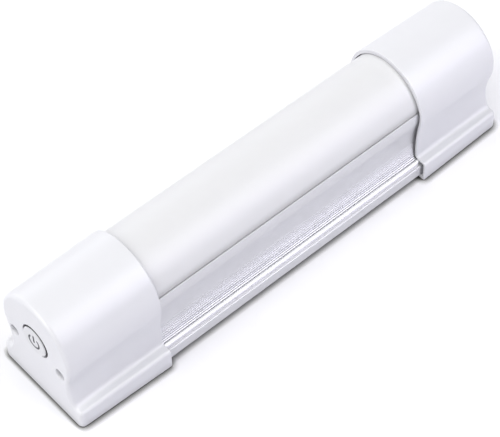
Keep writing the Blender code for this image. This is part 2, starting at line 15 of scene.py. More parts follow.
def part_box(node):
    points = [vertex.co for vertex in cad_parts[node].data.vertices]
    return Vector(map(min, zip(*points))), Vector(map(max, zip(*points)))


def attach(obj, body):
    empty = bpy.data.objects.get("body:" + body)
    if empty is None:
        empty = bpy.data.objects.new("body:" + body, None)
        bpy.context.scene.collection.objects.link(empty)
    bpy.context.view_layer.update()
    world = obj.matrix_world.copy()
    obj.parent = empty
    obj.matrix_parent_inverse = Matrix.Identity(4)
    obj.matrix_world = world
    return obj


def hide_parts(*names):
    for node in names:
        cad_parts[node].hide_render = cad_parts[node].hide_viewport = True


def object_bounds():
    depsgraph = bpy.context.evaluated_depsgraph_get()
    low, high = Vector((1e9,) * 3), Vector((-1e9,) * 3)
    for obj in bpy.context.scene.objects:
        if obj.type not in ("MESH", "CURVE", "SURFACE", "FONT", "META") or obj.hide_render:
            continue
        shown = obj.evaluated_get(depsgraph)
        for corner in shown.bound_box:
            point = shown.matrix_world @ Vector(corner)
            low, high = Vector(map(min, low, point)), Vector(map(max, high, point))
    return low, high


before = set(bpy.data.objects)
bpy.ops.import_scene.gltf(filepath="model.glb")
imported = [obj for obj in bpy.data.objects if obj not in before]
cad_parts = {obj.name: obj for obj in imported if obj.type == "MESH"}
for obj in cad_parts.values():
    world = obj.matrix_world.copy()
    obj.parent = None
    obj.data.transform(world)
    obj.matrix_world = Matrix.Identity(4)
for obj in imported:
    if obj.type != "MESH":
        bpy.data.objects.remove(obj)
cad_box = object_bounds()

MM = 0.001

# ---------------------------------------------------------------- dimensions
GAP = 0.3 * MM
TUBE_Z = 28.4 * MM

# End caps, and the openings in them
CAP_EDGE_RADIUS = 1.5 * MM
CAP_UNDERSIDE_EDGE = 0.3 * MM
CAP_FACE = 2.2 * MM
CAP_WALL = 2.4 * MM
BAY_CORNER = 1.0 * MM
RIM_RADIUS = 0.35 * MM
SLEEVE_RIM = 0.2 * MM
SLEEVE_TOP_GAP = 0.15 * MM
SLEEVE_BLEND = 8
SHOULDER_CLEARANCE = 0.51 * MM
POST_RADIUS = 3.2 * MM
POST_ROOT = 0.6 * MM
SCREW_Y = 11.6 * MM
SCREW_Z = 21.9 * MM
BORE_RADIUS = 2.0 * MM
BORE_DEPTH = 13 * MM
BORE_FLARE = 1.2 * MM
SCREW_HOLE_RADIUS = 1.4 * MM
HOLE_FILLET = 0.3 * MM
BUTTON_HOLE_RADIUS = 6.3 * MM
BUTTON_HOLE_FILLET = 0.15 * MM
PIN_RADIUS = 2.0 * MM
STANDOFF_RADIUS = 2.2 * MM
PILOT_RADIUS = 1.15 * MM
PILOT_FLOOR = 0.8 * MM

# Base extrusion
WALL = 1.6 * MM
SHELF_TOP = 27.3 * MM
SHELF_UNDER = 25.0 * MM
LIP_TOP = 31.0 * MM
LIP_INNER_RADIUS = 14.5 * MM
BEAD_Y = 14.0 * MM
BEAD_BOTTOM = 30.0 * MM
BEAD_SLOPE = 0.4 * MM
BEAD_CHAMFER = 0.3 * MM
LIP_EDGE = 0.2 * MM
RIB_AXIS = (0.858, -0.513)
RIB_START = 4.755 * MM
RIB_PITCH = 0.605 * MM
RIB_COUNT = 9
RIB_HEIGHT = 0.16 * MM
RIB_FLATTENING = 0.45
RIB_NOTCH = 0.2 * MM
RIB_FADE = 4.5 * MM
RIB_SAMPLES = 12
LEDGE_BEAD = (16.9 * MM, 6.62 * MM)
LEDGE_BEAD_RADIUS = 1.6 * MM
LEDGE_BEAD_ARC = (math.radians(82), math.radians(5))
LEDGE_Z = 6.75 * MM
FOOT_EDGE = 0.3 * MM
SEAM = 0.1 * MM

# Frosted cover
COVER_RADIUS = 15.8 * MM
COVER_WALL = 1.3 * MM
COVER_EDGE = 0.45 * MM
COVER_INNER_EDGE = math.radians(20)
COVER_LEG_Y = 12.7 * MM
COVER_BARB_Y = 14.2 * MM
COVER_BARB_TOP = 29.7 * MM
COVER_BARB_SLOPE = 0.2 * MM
COVER_LEG_BOTTOM = 28.2 * MM
COVER_SHADE = (30.6 * MM, 34.6 * MM)

# Power button and its symbol
BUTTON_RADIUS = 5.6 * MM
BUTTON_EDGE = 0.3 * MM
BUTTON_PROUD = 0.4 * MM
BUTTON_FLANGE = 1.2 * MM
BUTTON_STEM_RADIUS = 2.2 * MM
SYMBOL_RADIUS = 2.5 * MM
SYMBOL_STROKE = 0.34 * MM
SYMBOL_OPENING = math.radians(38)
SYMBOL_BAR_Z = (-0.1 * MM, 2.8 * MM)
SYMBOL_RELIEF = 0.04 * MM
SYMBOL_DEPTH = 0.1 * MM

# Screws: head radius, head height and shank radius
END_SCREW = (1.85 * MM, 1.8 * MM, 1.1 * MM)
BOARD_SCREW = (1.9 * MM, 1.2 * MM, 0.85 * MM)
THREAD_PITCH = 0.7 * MM

# Shares of a screw's shank radius, head height or head radius
THREAD_ROOT = 0.8
SCREW_TIP = 0.3
HEAD_DOME = 0.55
HEAD_STEPS = 6
CROSS_DEPTH = 0.6
CROSS_REACH = 0.6
CROSS_HALF_WIDTH = 0.15

# Small parts
SHARP_CORNER = 0.02 * MM
LED_WALL = 0.45 * MM
LED_FOOT_EDGE = 0.05 * MM
LED_TOP_EDGE = 0.1 * MM
LED_CORNER = 0.25 * MM
LED_WINDOW_CORNER = 0.9 * MM
LED_WINDOW_DEPTH = 0.22 * MM
LED_WINDOW_SLOPE = 0.15 * MM
LED_PAD_X = 0.85 * MM
LED_PAD_HALF = 0.45 * MM
LED_PAD_INSET = 0.4 * MM
SOLDER = 0.28 * MM
NUB_HEIGHT = 0.9 * MM
NUB_RADIUS = 2.6 * MM
GROOVE_DEPTH = 0.3 * MM
GROOVE_X = (3.4 * MM, 3.0 * MM, 2.5 * MM, 2.1 * MM)
WRAP_OPENING = (0.9 * MM, 1.6 * MM)
CAN_DROP = 1.1 * MM
INLET_WALL = 0.35 * MM
INLET_FLOOR = 1.5 * MM
CONTACT_COUNT = 12
CONTACT_PITCH = 0.5 * MM
CONTACT_HALF_WIDTH = 0.12 * MM
CONTACT_SPAN = (3.6 * MM, 0.5 * MM)
LEG_COUNT = 4
LEG_PITCH = 1.27 * MM
LEG_HALF_WIDTH = 0.2 * MM
LEG_LENGTH = 0.6 * MM
LEG_OVERLAP = 0.1 * MM
LEG_TOP = 0.5 * MM
CHIP_MARK = (0.8 * MM, 1.2 * MM)
CHIP_MARK_RADIUS = 0.35 * MM
INDUCTOR_WRAP = 1.1 * MM
CAPACITOR_WRAP = 0.4 * MM
BOARD_EDGE = 0.08 * MM
PLATED_RING = 0.9 * MM
SWITCH_PLATE = 0.35 * MM
RIVET_OUT = 2.3 * MM
RIVET_RADIUS = 0.35 * MM


# ---------------------------------------------------------------- cross-sections
@dataclass(frozen=True)
class Outline:
    """Cross-section of the bar: a round tube on a narrow waist that flares into two flat feet."""

    radius: float
    waist: float
    waist_z: float
    foot: float
    ledge_z: float
    hollow: float
    corner: float
    bottom_z: float


PROFILE = Outline(16.0 * MM, 14.6 * MM, 16.5 * MM, 19.4 * MM, 7.4 * MM, 2.8 * MM, 1.0 * MM, 2.0 * MM)
CAP_MOUTH = Outline(17.6 * MM, 16.4 * MM, 14.4 * MM, 21.0 * MM, 8.6 * MM, 1.6 * MM, 1.3 * MM, 0.0)
CAP_CLOSED = Outline(17.0 * MM, 14.9 * MM, 16.0 * MM, 20.0 * MM, 7.8 * MM, 2.6 * MM, 1.3 * MM, 0.0)
SLEEVE_MOUTH = Outline(16.6 * MM, 15.6 * MM, 14.8 * MM, 20.2 * MM, 8.0 * MM, 2.2 * MM, 1.0 * MM, 1.7 * MM)
BOTTOM_CORNER = 0.5 * MM


def inset(outline, depth):
    """Move every wall of an outline inwards by the same depth, and keep its corners' radii."""
    return replace(
        outline,
        radius=outline.radius - depth,
        waist=outline.waist - depth,
        foot=outline.foot - depth,
        ledge_z=outline.ledge_z - depth,
        bottom_z=outline.bottom_z + depth,
    )


def mixed(first, second, share):
    """An outline part of the way from one outline to another."""
    values = {
        name: getattr(first, name) * (1 - share) + getattr(second, name) * share
        for name in first.__dataclass_fields__
    }
    return Outline(**values)


def arc(centre, radius, start, end, steps):
    """Points on an arc, from one angle to another, both ends included."""
    angles = [start + (end - start) * i / steps for i in range(steps + 1)]
    return [(centre[0] + radius * math.cos(a), centre[1] + radius * math.sin(a)) for a in angles]


def flank_arcs(outline):
    """Centres, radii and angles of the waist arc and of the small arc onto the foot."""
    drop = TUBE_Z - outline.waist_z
    narrowing = outline.radius - outline.waist
    waist_radius = (outline.waist**2 + drop**2 - outline.radius**2) / (2 * narrowing)
    waist_centre = (outline.waist + waist_radius, outline.waist_z)
    tilt = math.atan2(drop, waist_centre[0])
    hollow_z = outline.ledge_z + outline.hollow
    reach = math.sqrt((waist_radius - outline.hollow) ** 2 - (hollow_z - outline.waist_z) ** 2)
    hollow_centre = (waist_centre[0] - reach, hollow_z)
    turn = math.pi + math.atan2(outline.waist_z - hollow_z, reach)
    return waist_centre, waist_radius, tilt, hollow_centre, turn


def flank(outline, waist_steps=26, hollow_steps=10):
    """The concave side of the outline, from the tube down to the ledge."""
    waist_centre, waist_radius, tilt, hollow_centre, turn = flank_arcs(outline)
    waist = arc(waist_centre, waist_radius, math.pi - tilt, turn, waist_steps)
    hollow = arc(hollow_centre, outline.hollow, turn, 1.5 * math.pi, hollow_steps)
    return waist + hollow[1:]


def foot(outline, steps=8):
    """The foot's upper corner, its side and its lower corner."""
    upper = (outline.foot - outline.corner, outline.ledge_z - outline.corner)
    lower = (outline.foot - BOTTOM_CORNER, outline.bottom_z + BOTTOM_CORNER)
    side = arc(upper, outline.corner, math.pi / 2, 0, steps)
    return side + arc(lower, BOTTOM_CORNER, 0, -math.pi / 2, steps // 2)


def both_sides(half):
    """Close a half outline; its points on the middle plane aren't doubled."""
    mirrored = [(-y, z) for y, z in reversed(half) if y > 1e-9]
    return half + mirrored


def full_outline(outline, tube_steps=48):
    """The whole closed outline, starting at the top of the tube."""
    tilt = flank_arcs(outline)[2]
    tube = arc((0, TUBE_Z), outline.radius, math.pi / 2, -tilt, tube_steps)
    tube[0] = (0.0, tube[0][1])
    return both_sides(tube[:-1] + flank(outline) + foot(outline))


def middle_of(node):
    """The middle of a CAD node's box."""
    return [(a + b) / 2 for a, b in zip(*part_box(node))]


# ---------------------------------------------------------------- mesh building
def lofted_mesh(name, rings):
    """One closed mesh through equal rings of points, with flat ends."""
    shape = bmesh.new()
    loops = [[shape.verts.new(point) for point in ring] for ring in rings]
    for near, far in zip(loops, loops[1:]):
        for i, corner in enumerate(near):
            j = (i + 1) % len(near)
            shape.faces.new((corner, near[j], far[j], far[i]))
    shape.faces.new(loops[0])
    shape.faces.new(list(reversed(loops[-1])))
    bmesh.ops.recalc_face_normals(shape, faces=shape.faces)
    mesh = bpy.data.meshes.new(name)
    shape.to_mesh(mesh)
    shape.free()
    return mesh


def body_from(name, mesh):
    """An object of that mesh, in the scene."""
    body = bpy.data.objects.new(name, mesh)
    bpy.context.scene.collection.objects.link(body)
    return body


def loft(name, rings):
    return body_from(name, lofted_mesh(name, rings))


def ring_at(outline, x):
    """An outline in the plane across the bar at x."""
    return [(x, y, z) for y, z in outline]


def prism(name, outline, x_range):
    """An outline drawn out along the bar."""
    return loft(name, [ring_at(outline, x) for x in x_range])


def turned(name, stations, centre=(0, 0, 0), axis="X", segments=64):
    """A round body: stations are (distance along the axis, radius)."""
    rings = []
    for along, radius in stations:
        circle = arc((0, 0), radius, 0, 2 * math.pi, segments)[:-1]
        if axis == "X":
            rings.append([(centre[0] + along, centre[1] + a, centre[2] + b) for a, b in circle])
        else:
            rings.append([(centre[0] + a, centre[1] + b, centre[2] + along) for a, b in circle])
    return loft(name, rings)


def shaped(target, steps):
    """Cut tools out of a body, or join them on, in order; the tools are used up."""
    for i, (operation, tool) in enumerate(steps):
        step = target.modifiers.new(f"step_{i}", "BOOLEAN")
        step.operation = operation
        step.solver = "EXACT"
        step.object = tool
    bpy.context.view_layer.update()
    evaluated = target.evaluated_get(bpy.context.evaluated_depsgraph_get())
    result = bpy.data.meshes.new_from_object(evaluated)
    target.modifiers.clear()
    old = target.data
    target.data = result
    bpy.data.meshes.remove(old)
    for _, tool in steps:
        mesh = tool.data
        bpy.data.objects.remove(tool)
        bpy.data.meshes.remove(mesh)
    return target


def merged(name, parts):
    """Several bodies as the loose parts of one mesh; each keeps its own materials."""
    shape = bmesh.new()
    materials = []
    for part in parts:
        first = len(shape.faces)
        shape.from_mesh(part.data)
        shape.faces.ensure_lookup_table()
        for face in shape.faces[first:]:
            own = part.data.materials[face.material_index] if part.data.materials else None
            if own not in materials:
                materials.append(own)
            face.material_index = materials.index(own)
    mesh = bpy.data.meshes.new(name)
    shape.to_mesh(mesh)
    shape.free()
    for material in materials:
        mesh.materials.append(material)
    for part in parts:
        old = part.data
        bpy.data.objects.remove(part)
        bpy.data.meshes.remove(old)
    return body_from(name, mesh)


def dressed(body, material=None, smooth_angle=32.0):
    """Smooth shading with sharp edges where the surface turns, and its material if it has only one."""
    mesh = body.data
    if material:
        mesh.materials.clear()
        mesh.materials.append(material)
        mesh.polygons.foreach_set("material_index", [0] * len(mesh.polygons))
    mesh.shade_smooth()
    mesh.set_sharp_from_angle(angle=math.radians(smooth_angle))
    weighting = body.modifiers.new("even_shading", "WEIGHTED_NORMAL")
    weighting.keep_sharp = True
    weighting.weight = 100
    return body


def placed(body, rides_on, slot, *nodes):
    """The piece rides on a body and stands for the CAD nodes, which are hidden; the slot is not used."""
    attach(body, rides_on)
    if nodes:
        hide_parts(*nodes)
    return body


# ---------------------------------------------------------------- materials
def filled(node, values):
    """Set a shader node's inputs, which are given by name or number."""
    for key, value in values.items():
        node.inputs[key].default_value = value
    return node


def added(nodes, kind, values=None, operation=None):
    """A new shader node of a kind, with its inputs' values and its operation where it has them."""
    node = nodes.new(f"ShaderNode{kind}")
    if operation:
        node.operation = operation
    return filled(node, values or {})


def surface(name, colour, roughness, metallic=0.0, grain=(4000, 4000, 4000), bump=0.004,
            roughness_span=0.06, tone_span=0.03, coarse=120.0, coat=0.0, subsurface=0.0,
            specular=0.5):
    """A procedural finish: fine grain in the surface, and slow changes of tone and gloss."""
    material = bpy.data.materials.new(name)
    material.use_nodes = True
    nodes = material.node_tree.nodes
    links = material.node_tree.links
    shader = nodes["Principled BSDF"]
    filled(shader, {
        "Metallic": metallic,
        "Specular IOR Level": specular,
        "Coat Weight": coat,
        "Coat Roughness": 0.12,
    })
    if subsurface:
        filled(shader, {
            "Subsurface Weight": subsurface,
            "Subsurface Radius": (1.0, 0.95, 0.9),
            "Subsurface Scale": 1.2 * MM,
        })
    place = added(nodes, "TexCoord")
    stretch = added(nodes, "Mapping", {"Scale": grain})
    fine = added(nodes, "TexNoise", {"Scale": 1.0, "Detail": 3.0})
    slow = added(nodes, "TexNoise", {"Scale": coarse, "Detail": 2.0})
    links.new(place.outputs["Object"], stretch.inputs["Vector"])
    links.new(stretch.outputs["Vector"], fine.inputs["Vector"])
    links.new(place.outputs["Object"], slow.inputs["Vector"])
    tone = added(nodes, "Mix")
    tone.data_type = "RGBA"
    low = [channel * (1 - tone_span) for channel in colour]
    tone.inputs[6].default_value = (*low, 1.0)
    tone.inputs[7].default_value = (*colour, 1.0)
    links.new(slow.outputs["Fac"], tone.inputs[0])
    links.new(tone.outputs[2], shader.inputs["Base Color"])
    gloss = added(nodes, "MapRange", {
        "To Min": roughness - roughness_span / 2,
        "To Max": roughness + roughness_span / 2,
    })
    both = added(nodes, "Math", {1: 0.5}, operation="MULTIPLY_ADD")
    links.new(fine.outputs["Fac"], both.inputs[0])
    half = added(nodes, "Math", {1: 0.5}, operation="MULTIPLY")
    links.new(slow.outputs["Fac"], half.inputs[0])
    links.new(half.outputs[0], both.inputs[2])
    links.new(both.outputs[0], gloss.inputs["Value"])
    links.new(gloss.outputs["Result"], shader.inputs["Roughness"])
    relief = added(nodes, "Bump", {"Strength": 1.0, "Distance": bump * MM})
    links.new(fine.outputs["Fac"], relief.inputs["Height"])
    links.new(relief.outputs["Normal"], shader.inputs["Normal"])
    return material


def shaded_foot(material, low, high, darkest):
    """Darken a material towards the low edge of its piece, where less light comes from inside."""
    nodes = material.node_tree.nodes
    links = material.node_tree.links
    colour = nodes["Principled BSDF"].inputs["Base Color"]
    tone = colour.links[0].from_socket
    place = added(nodes, "TexCoord")
    height = added(nodes, "SeparateXYZ")
    ramp = added(nodes, "MapRange", {"From Min": low, "From Max": high, "To Min": darkest})
    ramp.interpolation_type = "SMOOTHSTEP"
    shade = added(nodes, "VectorMath", operation="SCALE")
    links.new(place.outputs["Object"], height.inputs["Vector"])
    links.new(height.outputs["Z"], ramp.inputs["Value"])
    links.new(tone, shade.inputs[0])
    links.new(ramp.outputs["Result"], shade.inputs["Scale"])
    links.new(shade.outputs["Vector"], colour)


white_plastic = surface("moulded_white", (0.58, 0.58, 0.617), 0.32, bump=0.0015, specular=0.7)
button_plastic = surface("moulded_button", (0.55, 0.55, 0.58), 0.32, bump=0.0015)
symbol_ink = surface("symbol_ink", (0.02, 0.02, 0.03), 0.5)
frosted = surface(
    "frosted_cover", (0.57, 0.569, 0.594), 0.40, subsurface=0.15, bump=0.0015, specular=0.7,
)
shaded_foot(frosted, *COVER_SHADE, 0.6)
aluminium = surface(
    "anodised_aluminium", (0.63, 0.63, 0.66), 0.46, metallic=0.7, grain=(60, 9000, 9000), bump=0.003,
    roughness_span=0.1, tone_span=0.06,
)
steel = surface("zinc_plated_steel", (0.62, 0.62, 0.64), 0.28, metallic=1.0, grain=(3000, 3000, 3000))
shell_metal = surface("inlet_shell", (0.68, 0.67, 0.65), 0.22, metallic=1.0, grain=(200, 6000, 6000))
contact_gold = surface("contact_gold", (0.83, 0.62, 0.26), 0.25, metallic=1.0)
green_mask = surface("green_solder_mask", (0.03, 0.18, 0.08), 0.35, coat=0.3, tone_span=0.25, coarse=900)
white_mask = surface("white_solder_mask", (0.80, 0.80, 0.78), 0.38, coat=0.2)
package_white = surface("led_package", (0.82, 0.80, 0.74), 0.4)
phosphor = surface("led_phosphor", (0.88, 0.72, 0.14), 0.45, grain=(9000, 9000, 9000), bump=0.008)
sleeve = surface("cell_sleeve", (0.06, 0.20, 0.42), 0.3, coat=0.3, grain=(300, 3000, 3000))
foam = surface("foam_pad", (0.14, 0.14, 0.15), 0.95, grain=(2500, 2500, 2500), bump=0.12, tone_span=0.3)
black_plastic = surface("moulded_black", (0.03, 0.03, 0.032), 0.42, bump=0.006)
ferrite = surface("sintered_ferrite", (0.07, 0.07, 0.08), 0.6, bump=0.01, tone_span=0.2)
ceramic = surface("glazed_ceramic", (0.48, 0.34, 0.22), 0.35, coat=0.4)
red_skin = surface("red_insulation", (0.55, 0.03, 0.02), 0.38, grain=(3000, 3000, 3000), bump=0.006)
black_skin = surface("black_insulation", (0.02, 0.02, 0.022), 0.4, grain=(3000, 3000, 3000), bump=0.006)


# ---------------------------------------------------------------- end caps
def cap_ends(node, side):
    """Where a cap's closed end and its mouth are along X."""
    low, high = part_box(node)
    return (low.x, high.x) if side < 0 else (high.x, low.x)


def cap_outside(closed_x, mouth_x, side):
    """Rings of a cap's outside: rounded rim, slightly tapered body and rounded closed end."""
    rings = []
    for i in range(5):
        turn = math.pi / 2 * i / 4
        shape = inset(CAP_MOUTH, RIM_RADIUS * (1 - math.sin(turn)))
        x = mouth_x + side * RIM_RADIUS * (1 - math.cos(turn))
        rings.append(ring_at(full_outline(shape), x))
    first_x = rings[-1][0][0]
    last_x = closed_x - side * CAP_EDGE_RADIUS
    for i in range(1, 12):
        share = i / 12
        shape = mixed(CAP_MOUTH, CAP_CLOSED, share)
        rings.append(ring_at(full_outline(shape), first_x + (last_x - first_x) * share))
    for i in range(9):
        turn = math.pi / 2 * i / 8
        depth = CAP_EDGE_RADIUS * (1 - math.cos(turn))
        x = closed_x - side * CAP_EDGE_RADIUS * (1 - math.sin(turn))
        shape = replace(inset(CAP_CLOSED, depth), bottom_z=min(depth, CAP_UNDERSIDE_EDGE))
        rings.append(ring_at(full_outline(shape), x))
    return rings


def flared(face_x, side, radius, depth, fillet=HOLE_FILLET, reach=HOLE_FILLET):
    """Stations of a hole from a cap's face inwards; its edge is rounded over fillet by reach."""
    stations = [(face_x + side * MM, radius + fillet)]
    for i in range(6):
        turn = math.pi / 2 * i / 5
        into = reach * (1 - math.cos(turn))
        stations.append((face_x - side * into, radius + fillet * (1 - math.sin(turn))))
    stations.append((face_x - side * depth, radius))
    return stations


def sleeve_ring(outline, top_radius, x):
    """The sleeve's opening, which is closer over the cover's top than at its sides."""
    ring = []
    for y, z in full_outline(outline):
        reach = math.hypot(y, z - TUBE_Z)
        if z > TUBE_Z:
            share = (y / reach) ** SLEEVE_BLEND
            scale = (top_radius + (reach - top_radius) * share) / reach
            y, z = y * scale, TUBE_Z + (z - TUBE_Z) * scale
        ring.append((x, y, z))
    return ring


def cap_steps(node, side):
    """What is cut out of a cap and joined on, shared by both ends."""
    closed_x, mouth_x = cap_ends(node, side)
    base_end_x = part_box("base_profile")[0 if side < 0 else 1].x
    shoulder_x = base_end_x + side * GAP
    inner_face_x = closed_x - side * CAP_FACE
    top = COVER_RADIUS + SLEEVE_TOP_GAP
    sleeve = [sleeve_ring(inset(PROFILE, -SHOULDER_CLEARANCE), top, shoulder_x)]
    for i in range(4):
        turn = math.pi / 2 * i / 3
        flare = SLEEVE_RIM * (1 - math.cos(turn))
        x = mouth_x + side * SLEEVE_RIM * (1 - math.sin(turn))
        sleeve.append(sleeve_ring(inset(SLEEVE_MOUTH, -flare), top + flare, x))
    flared_mouth = inset(SLEEVE_MOUTH, -SLEEVE_RIM)
    sleeve.append(sleeve_ring(flared_mouth, top + SLEEVE_RIM, mouth_x - side * 5 * MM))
    steps = [("DIFFERENCE", loft("sleeve_tool", sleeve))]
    share = abs(shoulder_x - mouth_x) / abs(closed_x - mouth_x)
    near, far = (
        replace(inset(shape, CAP_WALL), hollow=BAY_CORNER, corner=BAY_CORNER)
        for shape in (mixed(CAP_MOUTH, CAP_CLOSED, share), CAP_CLOSED)
    )
    bay = [ring_at(full_outline(near), shoulder_x - side * MM)]
    bay.append(ring_at(full_outline(far), inner_face_x))
    steps.append(("DIFFERENCE", loft("bay_tool", bay)))
    for hand in (-1, 1):
        place = (0, hand * SCREW_Y, SCREW_Z)
        post_x = (inner_face_x + side * POST_ROOT, shoulder_x + side * 0.1 * MM)
        steps.append(("UNION", turned("post_tool", [(x, POST_RADIUS) for x in post_x], place)))
        bore = flared(closed_x, side, BORE_RADIUS, BORE_DEPTH, HOLE_FILLET, BORE_FLARE)
        bore.append((bore[-1][0], SCREW_HOLE_RADIUS))
        bore.append((shoulder_x - side * MM, SCREW_HOLE_RADIUS))
        steps.append(("DIFFERENCE", turned("screw_tool", bore, place)))
    return steps


def rounded_slot(half_width, half_height, steps=12):
    """A flat slot with round ends, as (y, z) points."""
    middle = half_width - half_height
    right = arc((middle, 0), half_height, -math.pi / 2, math.pi / 2, 2 * steps)
    left = arc((-middle, 0), half_height, math.pi / 2, 1.5 * math.pi, 2 * steps)
    return right + left


def make_cap(name, node, side, own_steps):
    """A cap: its outside, what both caps share, and its own cuts and posts."""
    closed_x, mouth_x = cap_ends(node, side)
    body = loft(name, cap_outside(closed_x, mouth_x, side))
    shaped(body, cap_steps(node, side) + own_steps)
    placed(dressed(body, white_plastic), "root", "white_abs", node)


def make_switch_cap():
    """Cap at the switch end, with its button hole and the pins of the switch board."""
    node, side = "switch_end_cap", -1
    closed_x = cap_ends(node, side)[0]
    middle = (0, 0, middle_of("power_button")[2])
    depth = CAP_FACE + MM
    hole = flared(closed_x, side, BUTTON_HOLE_RADIUS, depth, BUTTON_HOLE_FILLET, BUTTON_HOLE_FILLET)
    steps = [("DIFFERENCE", turned("button_tool", hole, middle, segments=96))]
    board_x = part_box("switch_board")[0].x
    inner_face_x = closed_x + CAP_FACE
    for label in ("lower", "upper"):
        place = (0, 0, middle_of(f"switch_board_screw_{label}")[2])
        pin_x = (inner_face_x - POST_ROOT, board_x - GAP)
        pin = [(x, PIN_RADIUS) for x in pin_x]
        steps.append(("UNION", turned("pin_tool", pin, place, segments=32)))
        pilot = [(inner_face_x + MM, PILOT_RADIUS), (board_x + MM, PILOT_RADIUS)]
        steps.append(("DIFFERENCE", turned("pilot_tool", pilot, place, segments=32)))
    make_cap("switch_cap_shell", node, side, steps)


def make_charge_cap():
    """Cap at the charging end, with its inlet slot and the standoffs of the charge board."""
    node, side = "charge_end_cap", 1
    closed_x = cap_ends(node, side)[0]
    low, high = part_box("usb_inlet")
    inlet_z = middle_of("usb_inlet")[2]
    half_width = (high.y - low.y) / 2 + 2 * GAP
    half_height = (high.z - low.z) / 2 + 2 * GAP
    rings = []
    for x, radius in flared(closed_x, side, 0.0, CAP_FACE + MM):
        slot = rounded_slot(half_width + radius, half_height + radius)
        rings.append([(x, y, z + inlet_z) for y, z in slot])
    steps = [("DIFFERENCE", loft("slot_tool", rings))]
    board_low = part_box("charge_board")[0]
    for label in ("left", "right"):
        place = (*middle_of(f"charge_board_screw_{label}")[:2], 0)
        top = board_low.z - GAP
        standoff = [(z, STANDOFF_RADIUS) for z in (CAP_WALL - POST_ROOT, top)]
        steps.append(("UNION", turned("standoff_tool", standoff, place, "Z", 32)))
        pilot = [(z, PILOT_RADIUS) for z in (CAP_WALL + PILOT_FLOOR, top + MM)]
        steps.append(("DIFFERENCE", turned("standoff_pilot_tool", pilot, place, "Z", 32)))
    make_cap("charge_cap_shell", node, side, steps)


# ---------------------------------------------------------------- base and cover
def ribbed(path):
    """Rounded ribs down the side, at even steps along RIB_AXIS; the notches between them deepen."""
    along = [p[0] * RIB_AXIS[0] + p[1] * RIB_AXIS[1] for p in path]
    points = [p for p, reach in zip(path, along) if reach < RIB_START]
    k = 0
    for i in range(RIB_COUNT * RIB_SAMPLES + 1):
        reach = RIB_START + RIB_PITCH * i / RIB_SAMPLES
        while along[k + 1] < reach:
            k += 1
        start, end = Vector(path[k]), Vector(path[k + 1])
        share = (reach - along[k]) / (along[k + 1] - along[k])
        step = (end - start).normalized()
        outward = Vector((-step.y, step.x))
        down = min(1.0, (reach - RIB_START) / RIB_FADE) ** 2
        raised = RIB_HEIGHT * (1 - RIB_FLATTENING * down) * abs(math.sin(math.pi * i / RIB_SAMPLES))
        if i % RIB_SAMPLES == 0:
            raised -= RIB_NOTCH * down
        points.append(tuple(start.lerp(end, share) + outward * raised))
    return points


def profile_outline():
    """Outside of the base extrusion, with the open tray that holds the LED board and the cover."""
    lip_inner_y = math.sqrt(LIP_INNER_RADIUS**2 - (SHELF_TOP - TUBE_Z) ** 2)
    lip_angle = math.asin((LIP_TOP - LIP_EDGE - TUBE_Z) / PROFILE.radius)
    tilt = flank_arcs(PROFILE)[2]
    tray = [(0.0, SHELF_TOP), (lip_inner_y, SHELF_TOP), (LIP_INNER_RADIUS, BEAD_BOTTOM - BEAD_SLOPE)]
    bead = [(BEAD_Y, BEAD_BOTTOM), (BEAD_Y, LIP_TOP - BEAD_CHAMFER), (BEAD_Y + BEAD_CHAMFER, LIP_TOP)]
    tube = arc((0, TUBE_Z), PROFILE.radius, lip_angle, -tilt, 24)
    lip_y = tube[0][0]
    lip_corner = [(lip_y - 1.2 * LIP_EDGE, LIP_TOP), (lip_y - 0.3 * LIP_EDGE, LIP_TOP - 0.3 * LIP_EDGE)]
    side = ribbed(flank(PROFILE, 60, 16))
    ledge_bead = arc(LEDGE_BEAD, LEDGE_BEAD_RADIUS, *LEDGE_BEAD_ARC, 18)
    feet = foot(replace(PROFILE, ledge_z=LEDGE_Z, corner=FOOT_EDGE))
    return both_sides(tray + bead + lip_corner + tube[:-1] + side + ledge_bead + feet)


def cavity_outline():
    """The hollow inside the base extrusion, under the shelf."""
    inner = inset(PROFILE, WALL)
    side = [p for p in flank(inner) if p[1] < SHELF_UNDER]
    top_y = flank(inner)[0][0]
    return both_sides([(0.0, SHELF_UNDER), (top_y, SHELF_UNDER)] + side + foot(inner))


def make_base():
    """Aluminium extrusion with its cell bay and two screw channels."""
    low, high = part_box("base_profile")
    base = prism("base_extrusion", profile_outline(), (low.x, high.x))
    past_ends = (low.x - 5 * MM, high.x + 5 * MM)
    steps = [("DIFFERENCE", prism("cell_bay_tool", cavity_outline(), past_ends))]
    for hand in (-1, 1):
        place = (0, hand * SCREW_Y, SCREW_Z)
        boss = turned("boss_tool", [(x, POST_RADIUS) for x in (low.x, high.x)], place)
        steps.append(("UNION", boss))
        channel = turned("channel_tool", [(x, SCREW_HOLE_RADIUS) for x in past_ends], place)
        steps.append(("DIFFERENCE", channel))
    shaped(base, steps)
    placed(dressed(base, aluminium, 40.0), "root", "anodised_aluminium", "base_profile")


